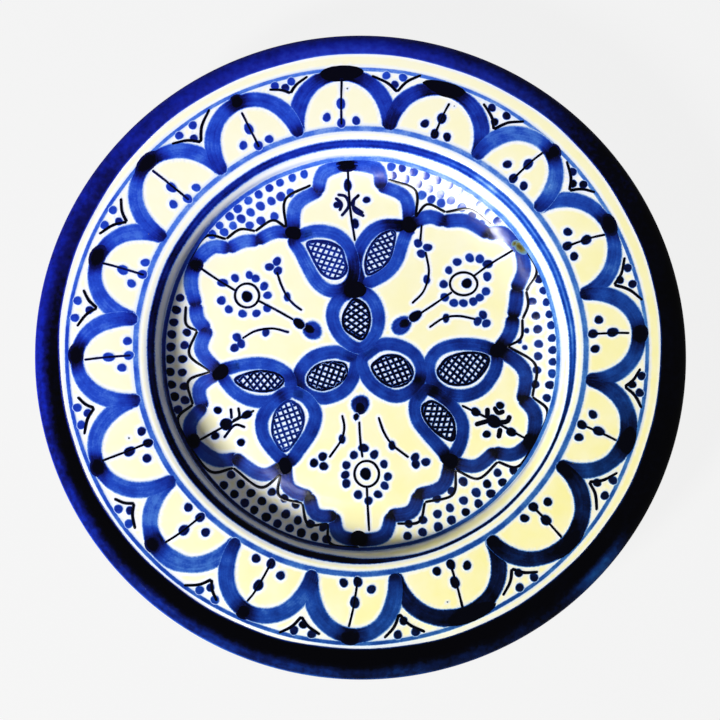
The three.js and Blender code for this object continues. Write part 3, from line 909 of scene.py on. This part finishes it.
# Cusps and the points that the scallops between them pass through, in turn, from the top tip leftwards.
STAR = (
    (-7, 90.5), (-18, 86), (-20.5, 77), (-31, 70), (-32, 56.5), (-41, 57), (-49, 53), (-56, 52.5), (-63, 49),
    (-71, 49), (-79, 41), (-80.5, 32), (-78, 22), (-77, 15), (-72.5, 10), (-75, 0), (-66, -10),
    (-75.5, -17), (-74, -26.5), (-79.5, -34), (-79, -43), (-68, -51), (-58, -50.5), (-46, -58),
    (-35.5, -53.5), (-33.5, -64), (-24, -68), (-21, -76), (-12.5, -77), (-10, -85.5), (-1, -88),
    (10, -86), (13.5, -77), (23, -75), (26.5, -67),
    (38, -63), (41.5, -51.5), (53, -54), (62, -47.5), (71, -48.5), (79.5, -42.5), (81, -30), (75.5, -22.5),
    (76.5, -9), (64.5, 1), (70, 9), (71.5, 16.5), (73, 23), (73.5, 30), (77, 39), (75.5, 48.5), (68, 56),
    (60, 56.5), (50, 62.5), (39.5, 62.5), (32, 65), (23, 61), (21, 74), (9.5, 79.5), (7, 88),
)
NODES = (4, 16, 24, 36, 44, 56)  # cusps where the petals join the star
TIPS = (0, 10, 20, 30, 40, 50)  # cusps at the tips of the lobes


def shaded_load(x, y):
    """Paint load that rises towards the lower right: the darker strokes there are painted shade of the dimmer
    light.
    """
    return .5 + .0016 * (x - y) / 1.41


def cusp_pool(i):
    """The brush stopped and pooled where two scallops meet, most of all at the nodes and tips."""
    x, y = STAR[i % len(STAR)]
    if i % len(STAR) == TIPS[5]:
        return x, y, 3.0, 0.0
    if i % len(STAR) in NODES:
        return x, y, 5.0, .6
    if i % len(STAR) in TIPS:
        return x, y, 4.2, .55
    return x, y, 2.5, .42


OVERLAP = 0.17  # how far a scallop runs past its cusps, as a share of its half length
star = []
star_dabs = []
echo = []
count = len(STAR)
for i in range(0, count, 2):
    start, bulge, end = (np.array(STAR[k % count], float) for k in (i, i + 1, i + 2))
    points = [start + OVERLAP * (start - bulge), bulge, end + OVERLAP * (end - bulge)]
    stroke(star, points, [6.8, 7.2, 6.8], pooled(shaded_load, (cusp_pool(i), cusp_pool(i + 2))), soft=1.0,
           end_soft=0.25)
    x, y = STAR[i]
    outward = math.degrees(math.atan2(y, x))
    if i in NODES:
        dot(star_dabs, x, y, 3.5, 1.15, 1.2, outward + 40, 0.04, soft=2.8, under=shaded_load(x, y) + .55)
    elif i in TIPS[:5]:
        dot(star_dabs, x * .99, y * .99, 3.5, 1.15, 1.5 if i == 0 else 1.1, outward + 90, 0.04, soft=2.2,
            under=shaded_load(x, y) + .4)
well_marks = []
well_marks.append(gather(star, "star_scallops", "brushed_cobalt", "star_border"))
dot(star_dabs, -3, 29.5, 4.0, 1.1, 1.4, 0, 0.06, soft=2.4, under=.95)
gather(star_dabs, "star_cusp_dabs", "dark_cobalt")

ECHO_CUSP_DISTANCE = 4.7
ECHO_BULGE_DISTANCE = 5.9
ECHO_LIMIT = WELL_RADIUS - 1.8


def echo_point(i):
    before, here, after = (np.array(STAR[k % count], float) for k in (i - 1, i, i + 1))
    way = after - before
    out = np.array((way[1], -way[0])) / np.hypot(*way)
    moved = here + out * (ECHO_BULGE_DISTANCE if i % 2 else ECHO_CUSP_DISTANCE)
    reach_now = np.hypot(*moved)
    return moved * min(1, ECHO_LIMIT / reach_now), reach_now > ECHO_LIMIT


for i in range(0, count, 2):
    trio = [echo_point(k) for k in (i, i + 1, (i + 2) % count)]
    if sum(clamped for _, clamped in trio) < 2:
        fine_line(echo, [tuple(p) for p, _ in trio], [1.3, 1.4, 1.3], 1.1, 0.02)
well_marks.append(gather(echo, "star_echo_line", "dark_cobalt"))

# ---- Petals ----

PETALS = (
    ((-2.5, 29.5), (-10, 25.5), (-13.5, 17), (-9.5, 7), (-0.8, 1.5), (6.5, 8), (8.3, 17), (5, 25.5)),
    ((-3, -3), (-12, -0.3), (-22.5, -3), (-29, -10.5), (-27.5, -18.5), (-18, -22.3), (-8, -18.5), (-3, -10)),
    ((0.5, -3), (8, 2.8), (17, 3), (25, -1.5), (28.3, -9.5), (25, -17.5), (16, -21.3), (6, -16.5), (1, -9)),
    ((-32, 54), (-22, 57.5), (-12, 56), (-6, 50), (-3.5, 42), (-4, 35), (-8, 30), (-15, 29), (-21, 33),
     (-25.3, 40), (-28.5, 46.5)),
    ((23, 60), (12, 60.5), (5, 57.5), (-0.5, 50), (-2.5, 42), (-1, 35), (0, 32), (7, 34.5), (13, 38.5),
     (17, 44), (19, 50), (21.5, 57)),
    ((-65, -9), (-56, -6.5), (-47, -5.7), (-39, -8), (-33.5, -13), (-34, -19), (-42, -23.5), (-52, -23),
     (-60, -18.5), (-65.5, -11)),
    ((-33, -19), (-26, -22), (-21.5, -29), (-23, -37), (-28, -45), (-34, -52), (-41, -47), (-46, -39),
     (-46, -31), (-41, -24)),
    ((62, 1), (55, 3), (45, 3.3), (36.5, 0.5), (32, -6), (33, -14), (39, -19.5), (48, -21), (57, -17.5),
     (63, -9), (64, -1)),
    ((30, -18), (25.5, -24), (26, -32), (31, -39), (38, -47), (41, -51), (46, -44), (47.5, -34), (43, -26),
     (36, -20)),
)
# Where the petals meet, the strokes were pulled over each other and pooled.
PETAL_POOLS = (
    (-4.5, 30, 5.5, .6), (-3, 38, 5, .35), (-3, 46, 5, .2), (12, 60.5, 3.5, .2), (17, 61, 4, .4),
    (22, 60.5, 4, .35), (-32, 54, 4, .4), (-31, -11, 3.5, .3), (-27.5, -17, 3.5, .3), (-38, -21, 3, .3),
    (-64, -10, 3.5, .4),
    (-34, -52, 3.5, .4), (28.5, -14, 4, .45), (34, -19, 3.5, .4), (41, -22, 3, .3), (63, 0, 3.5, .4),
    (40, -50, 3.5, .4), (-2.5, -1, 3.5, .3), (-1.5, -13, 3.5, .25),
)
petals = []
for outline in PETALS:
    stroke(petals, [*outline, outline[0], outline[1]], 6.8, pooled(shaded_load, PETAL_POOLS), soft=1.0)
gather(petals, "petal_outlines", "brushed_cobalt", "petal_web")

# Each cell: its outline, the two hatching angles in degrees, and its load.
CELLS = (
    (((0, 6), (-7, 10), (-8.5, 16), (-6, 22), (-3, 25), (2, 22), (4, 16), (3, 10)), 35, 145, .95),
    (((3, 37), (2, 42), (3, 47), (5.5, 52), (10, 56.5), (15.5, 58), (15.5, 52), (13, 44), (8, 39)),
     20, 125, .7),
    (((-25.5, 52), (-20, 53), (-14, 52), (-9.5, 49), (-8, 44), (-7, 39), (-10, 35.5), (-14, 35), (-18, 37),
      (-21, 41), (-24, 47)), 65, 165, .6),
    (((-8, -6), (-14, -5), (-21, -7), (-25, -12), (-24, -16), (-18, -18), (-11, -15.5), (-7, -11)),
     70, 160, .9),
    (((-59, -13.5), (-53, -10.5), (-46, -9.5), (-39, -11), (-36.5, -14), (-39.5, -17.5), (-46, -19),
      (-54, -17.5)), 50, 130, .8),
    (((-34, -23.5), (-29, -26), (-27, -32), (-29.5, -40), (-35.5, -47), (-40, -42), (-41.5, -36),
      (-39.5, -28)), 20, 110, .6),
    (((5, -7), (10, -2.5), (17, -2), (22, -5.5), (24, -10.5), (21, -15), (15, -16.5), (9, -13.5)),
     20, 115, .98),
    (((29, -25.5), (33, -23.5), (39, -27), (43, -33), (43, -41.5), (37, -39.5), (32, -35), (29, -30)),
     0, 75, .95),
    (((36, -9), (40, -3.5), (48, -0.8), (56, -1), (60, -3.5), (57, -10), (51, -15), (43, -15.5), (38, -13)),
     55, 140, .98),
)
HATCH_SPACING = 2.5


def hatch_lines(outline, degrees):
    """Lines across a closed outline, evenly spaced at an angle."""
    line, _ = brush_path([*outline, outline[0]])
    c, s = math.cos(math.radians(degrees)), math.sin(math.radians(degrees))
    along, across = line @ (c, s), line @ (-s, c)
    found = []
    for level in np.arange(across.min() + 1.2, across.max() - 0.6, HATCH_SPACING):
        hits = []
        for k in range(len(line) - 1):
            low, high = across[k], across[k + 1]
            if (low - level) * (high - level) < 0:
                share = (level - low) / (high - low)
                hits.append(along[k] + share * (along[k + 1] - along[k]))
        hits.sort()
        for first, last in zip(hits[::2], hits[1::2]):
            if last - first > 2:
                three = (first, (first + last) / 2, last)
                found.append([(c * a - s * level, s * a + c * level) for a in three])
    return found


for number, (outline, first_angle, second_angle, load) in enumerate(CELLS, start=1):
    hatching = []
    stroke(hatching, [*outline, outline[0], outline[1]], 1.8, load + .15, lift=0.01)
    for degrees in (first_angle, second_angle):
        for a, b, c in hatch_lines(outline, degrees):
            b = (b[0] + hand.uniform(-.25, .25), b[1] + hand.uniform(-.25, .25))
            stroke(hatching, [a, b, c], 1.05 + .55 * load, load + .12, lift=0.02)
    gather(hatching, f"leaf_hatching_{number}", "dark_cobalt", f"hatched_cell_{number}")

# ---- Rows of dots outside the star ----

# Angles from and to, radii from and to, number of dots, load.
DOT_ROWS = (
    (107.9, 142, 89.3, 90, 10, .5), (113.8, 139, 83, 86, 8, .5), (122.8, 131.5, 76.5, 80, 3, .5),
    (163.7, 198, 89, 90, 10, .9), (174, 195.7, 82.4, 85.2, 6, .9),
    (225, 259.7, 89.2, 89.2, 10, .9), (224, 258, 83.5, 84.3, 9, .9), (238, 247, 77.7, 77.7, 3, .9),
    (284, 321.3, 88.9, 90.3, 9, .85), (285.3, 318, 83.5, 85.3, 8, .85), (297, 307.8, 77.3, 77.3, 3, .85),
    (-14.2, 22.3, 89.7, 90.8, 11, .7), (-10.8, 16.2, 83, 84, 7, .7),
    (44, 81, 90, 90, 11, .5), (47, 79.9, 83.6, 85.9, 9, .5), (62, 69.3, 80.8, 80.8, 3, .5),
)
field = []
for start, end, first, last, number, load in DOT_ROWS:
    for k in range(number):
        share = k / (number - 1)
        x, y = polar(start + (end - start) * share + hand.uniform(-.25, .25),
                     first + (last - first) * share + hand.uniform(-.3, .3))
        outward = math.degrees(math.atan2(y, x))
        dot(field, x, y, hand.uniform(2.1, 2.4), load + hand.uniform(-.1, .1), 1.05, outward)
for x, y in ((78, 10), (77, 2), (74.5, 5)):
    dot(field, x, y, 1.5, .7)
well_marks.append(gather(field, "field_dots", "dark_cobalt"))

# ---- Blossoms in the three long lobes ----

rings = []
blossom_dots = []
sprigs = []
buds = []


def ringlet(x, y, wide, high, load):
    points = [(x + wide * math.cos(a), y + high * math.sin(a)) for a in np.linspace(0.4, 7.0, 14)]
    fine_line(rings, points, 1.2, load + .25, 0.03)


BLOSSOMS = (
    dict(load=.72, ring=(-54, 26.5, 5.7, 5.7), eye=(-54, 26, 2.9, 1.0),
         dots=((-59.7, 34.8), (-53, 36.3), (-50, 34.7), (-46, 31), (-44.3, 26.7), (-44.5, 20.5), (-49.5, 18),
               (-56, 17.8), (-62.5, 19.8), (-66, 24)),
         stems=(((-77, 40), (-68, 34), (-59, 28.5)), ((-48.5, 24), (-40, 19.5), (-32, 15))),
         stem_dots=((-65.5, 32.5),),
         sprigs=(((-28, 19.5), (-31.5, 22), (-35, 26), (-38, 32), (-40, 38)),
                 ((-34, 9), (-42, 10.8), (-50, 9.5), (-56, 6))),
         sprig_dots=((-35, 26), (-45, 9)),
         clovers=((-40, 43), (-43.5, 40.3), (-39.5, 38.5), (-58.5, 6.5), (-56.5, 3.5), (-59.5, 1.5)),
         cap=((-32, 15.5), (-29.5, 13.5), (-27, 11)), bud=(-23, 10, 5.2, 4.6, -25)),
    dict(load=.78, ring=(48.5, 32.5, 6.5, 5.5), eye=(50, 32.7, 2.7, 1.0),
         dots=((41.5, 39), (45.5, 43), (51.5, 45), (56.3, 44.5), (59.7, 36), (59, 28.8), (56, 25.8), (53, 24),
               (48.3, 23.2), (43.8, 23.3), (39, 32.3), (39.5, 26)),
         stems=(((72, 48.5), (62, 42.5), (53, 36)), ((43, 28.5), (35, 23), (27.5, 18))),
         stem_dots=((60, 42),),
         sprigs=(((24, 23), (29.5, 29), (32, 38), (30.5, 48)), ((32, 11.5), (39, 16), (46, 17), (54, 15.5)),
                 ((28, 53), (28.7, 61))),
         sprig_dots=((31, 34.5), (40, 16)),
         clovers=((27, 52), (31.5, 50), (28.5, 47), (57.5, 17.5), (55, 14.5), (59, 13.5)),
         cap=((28.5, 19.3), (25.5, 17), (22.5, 15)), bud=(19, 12.5, 5.6, 4.6, 215)),
    dict(load=.92, ring=(2.5, -57.5, 5.7, 6), eye=(2, -57.5, 2.7, 1.2),
         dots=((-3.5, -48.8), (6, -48.5), (10.5, -53), (12.3, -58.8), (10.8, -63), (7.7, -67), (-1.5, -67.2),
               (-7, -62), (-7.5, -58), (-7, -53.5), (3.3, -70)),
         stems=(((-1, -33), (-0.5, -42), (0.5, -50)), ((2.5, -63.5), (3, -74), (3.5, -84))),
         stem_dots=((1, -45.5),),
         sprigs=(((-9, -30), (-8, -36), (-9.5, -42), (-15, -50)),
                 ((8, -31), (10.5, -38), (14.5, -44), (22, -50))),
         sprig_dots=((-9, -41.3), (14.3, -44.3)),
         clovers=((-18, -49.5), (-22, -52.5), (-17.5, -54), (25, -49.8), (25.3, -53), (30, -52)),
         cap=((-4, -31), (-2.5, -31), (-1, -31.5)), bud=(-0.5, -25, 5.0, 4.6, 90)),
)
for flower in BLOSSOMS:
    load = flower["load"]
    ringlet(*flower["ring"], load)
    x, y, size, tall = flower["eye"]
    dot(blossom_dots, x, y, size, load + .25, tall, 90, 0.03)
    for x, y in flower["dots"]:
        dot(blossom_dots, x, y, hand.uniform(2.0, 2.3), load - .12, 1.08, hand.uniform(0, 180), 0.03)
    for points in (*flower["stems"], *flower["sprigs"]):
        fine_line(sprigs, points, 1.1, load + .22, 0.06)
    for x, y in flower["stem_dots"]:
        dot(blossom_dots, x, y, 2.2, load, 1.3, 0, 0.03)
    for x, y in flower["sprig_dots"]:
        dot(blossom_dots, x, y, 1.9, load, 1.3, 90, 0.03)
    for x, y in flower["clovers"]:
        dot(blossom_dots, x, y, 2.15, load - .05, 1.15, hand.uniform(0, 180), 0.03)
    stroke(buds, flower["cap"], [3.2, 5.0, 4.6], 1.05, lift=0.05)
    x, y, length, width, turn = flower["bud"]
    dot(buds, x, y, width, load - .16, length / width, turn, 0.02, soft=1.2)
    side = math.radians(turn + 180)
    dot(buds, x + .35 * width * math.cos(side), y + .35 * width * math.sin(side), width * .6, 1.0,
        1.2, turn, 0.04, soft=1.8, under=load - .1)
gather(rings, "blossom_rings", "dark_cobalt")
gather(buds, "tulip_buds", "brushed_cobalt")

# ---- Barbed stems in the three short lobes ----

BARBS = (
    dict(load=.85, width=1.5, stem=((-6.5, 88), (-5.5, 70), (-3, 53)),
         dots=((-6.5, 80, 2.2, 1.5), (-3, 61.5, 2.2, 1.2)),
         side=((-11.5, 70.5, 1.9), (2.5, 73, 1.9)),
         barbs=(((-11.5, 75.5), (-7.5, 74.5), (-6, 70), (-9.5, 65)), ((-12.5, 74), (-9.5, 71), (-10.5, 67.5)),
                ((-1, 75.7), (-4.5, 71), (1, 66.5)), ((-3.5, 74), (-3.5, 68), (1.5, 65)))),
    dict(load=.95, width=1.3, stem=((-50, -28), (-62, -34.5), (-75, -42)),
         dots=((-53.5, -30, 2, 1.6), (-63, -34.5, 3, 1.1), (-68, -40, 2, 1.2)),
         side=((-67, -28, 2), (-56, -43, 2)),
         barbs=(((-57.5, -26.5), (-57, -31), (-60, -33)), ((-61, -27), (-60.5, -32)),
                ((-54, -36), (-59, -35), (-64, -41)))),
    dict(load=1.1, width=2.3, stem=((47, -25.5), (62, -33), (78, -42)),
         dots=((53.5, -28.5, 2.2, 1.2), (70, -38, 2.2, 1.3), (62, -33, 3.2, 1.2)),
         side=((65, -25.5, 2), (58.5, -39, 2)),
         barbs=(((59, -26.5), (59, -31)), ((62, -26), (64, -29), (67, -28)),
                ((69.5, -30), (68, -33), (63, -33.5)), ((53, -34.5), (60, -32.5)), ((64, -41), (65, -36)))),
)
barbs = []
for lobe in BARBS:
    load = lobe["load"]
    fine_line(barbs, lobe["stem"], 1.15, load + .1, 0.05)
    for x, y, size, tall in lobe["dots"]:
        start, end = np.array(lobe["stem"][0]), np.array(lobe["stem"][-1])
        turn = math.degrees(math.atan2(*(end - start)[::-1]))
        dot(barbs, x, y, size, load, tall, turn, 0.04)
    for x, y, size in lobe["side"]:
        dot(barbs, x, y, size, load, 1.1, 0, 0.04)
    for points in lobe["barbs"]:
        fine_line(barbs, points, lobe["width"], load, 0.03)
for family, name in ((barbs, "barbed_stems"), (sprigs, "blossom_stems"), (blossom_dots, "blossom_dots")):
    gather(family, name, "dark_cobalt")

# ---- Specks of iron in the glaze ----

specks = []
dot(specks, 75.2, 49.5, 2.2, .5, 1.9, 130, 0.06, soft=1.6)
dot(specks, 72.6, 51.6, 1.3, .5, 1.4, 60, 0.07, soft=1.0)
for degrees, radius in ((93.2, 123), (69.2, 122.5), (288.3, 122), (201.8, 114), (152, 112), (331, 110)):
    dot(specks, *polar(degrees, radius), hand.uniform(.3, .45), .5, lift=0.02, soft=0.2)
gather(specks, "iron_specks", "dark_cobalt", material=iron_brown)

# ---- White and cream on the face ----

HALO_WIDTH = 1.45
BLEED_WIDTH = 0.5


def mark_halo():
    """The glaze is whiter and a little blue beside each mark, less so towards the lower right."""
    tree = KDTree(len(border_points))
    for i, (x, y) in enumerate(border_points):
        tree.insert((x, y, 0), i)
    tree.balance()
    positions = coordinates(face)
    distance = np.array([tree.find((x, y, 0))[2] for x, y, _ in positions])
    radius, turn = polar_of(positions)
    distance = np.minimum(distance, 1.2 * np.abs(band_inner(turn) - radius))
    strength = 1 - 0.45 * rising(positions[:, 0] - positions[:, 1], 0, PLATE_RADIUS)
    record(face.data, "halo", strength * np.exp(-(distance / HALO_WIDTH) ** 2))
    record(face.data, "bleed", 0.5 * np.exp(-(distance / BLEED_WIDTH) ** 2))


mark_halo()
finish_piece(face, face_glaze, "white_glaze", "face_glaze")

# ---- Stage, lights and camera ----

deselect()
bpy.ops.mesh.primitive_plane_add(size=8, location=(0, 0, -0.0002))
ground = bpy.context.object
ground.name = "ground"
ground.visible_glossy = False
PALE_GREY = tone("#f4f4f4")
paper = bpy.data.materials.new("pale_paper")
paper.use_nodes = True
tree = paper.node_tree
tree.nodes.clear()
glow = add(tree, "Emission", {"Color": PALE_GREY, "Strength": 0.95})
matt = add(tree, "BsdfDiffuse", {"Color": (0.04, 0.04, 0.04, 1)})
both = add(tree, "AddShader", {0: glow.outputs[0], 1: matt.outputs[0]})
add(tree, "OutputMaterial", {"Surface": both.outputs[0]})
ground.data.materials.append(paper)

world = bpy.data.worlds.new("studio")
bpy.context.scene.world = world
world.use_nodes = True
tree = world.node_tree
tree.nodes.clear()
path = add(tree, "LightPath")
dim = add(tree, "Background", {"Color": (1, 1, 1, 1), "Strength": 0.05})
seen = add(tree, "Background", {"Color": PALE_GREY, "Strength": 1.0})
either = add(tree, "MixShader", {0: path.outputs["Is Camera Ray"], 1: dim.outputs[0], 2: seen.outputs[0]})
add(tree, "OutputWorld", {"Surface": either.outputs[0]})


def softbox(name, degrees, elevation, distance, size, power, mirrored=False, roll=0):
    """An area light that looks at the plate; degrees are round the plate from +X."""
    light = bpy.data.lights.new(name, "AREA")
    light.shape = "RECTANGLE"
    light.size, light.size_y = size
    light.energy = power
    lamp = bpy.data.objects.new(name, light)
    bpy.context.collection.objects.link(lamp)
    a, e = math.radians(degrees), math.radians(elevation)
    way = Vector((math.cos(e) * math.cos(a), math.cos(e) * math.sin(a), math.sin(e)))
    lamp.location = way * distance
    rolled = Matrix.Rotation(math.radians(roll), 3, "Z")
    lamp.rotation_euler = (way.to_track_quat("Z", "Y").to_matrix() @ rolled).to_euler()
    lamp.visible_glossy = mirrored
    lamp.visible_diffuse = not mirrored
    return lamp


softbox("main_softbox", 222, 32, 1.6, (0.3, 0.3), 44)
softbox("fill_softbox", 130, 70, 1.8, (1.4, 1.4), 4.0)
# The glare is a reflection that only the face and the outer marks of the well catch.
glare = softbox("glare_softbox", 221.6, 75.3, 1.4, (0.2, 0.63), 13, mirrored=True, roll=15)
receivers = bpy.data.collections.new("glare_receivers")
glare.light_linking.receiver_collection = receivers
for piece in (face, *well_marks):
    receivers.objects.link(piece)

bpy.context.scene.view_settings.view_transform = "Standard"

AIM = Vector((-0.934, -6.742, 38.0)) * MM
EYE_DISTANCE = 0.65
LEAN_X = math.radians(-0.9707)
LEAN_Y = math.radians(-8.1078)
LENS = 71.2
toward_eye = Vector((LEAN_X, LEAN_Y, 1)).normalized()
camera = bpy.data.objects.new("camera", bpy.data.cameras.new("camera"))
bpy.context.collection.objects.link(camera)
camera.data.lens = LENS
camera.data.sensor_width = 36
across = Vector((0, 1, 0)).cross(toward_eye).normalized()
upward = toward_eye.cross(across)
turn = Matrix((across, upward, toward_eye)).transposed()
camera.matrix_world = Matrix.Translation(AIM + toward_eye * EYE_DISTANCE) @ turn.to_4x4()
bpy.context.scene.camera = camera
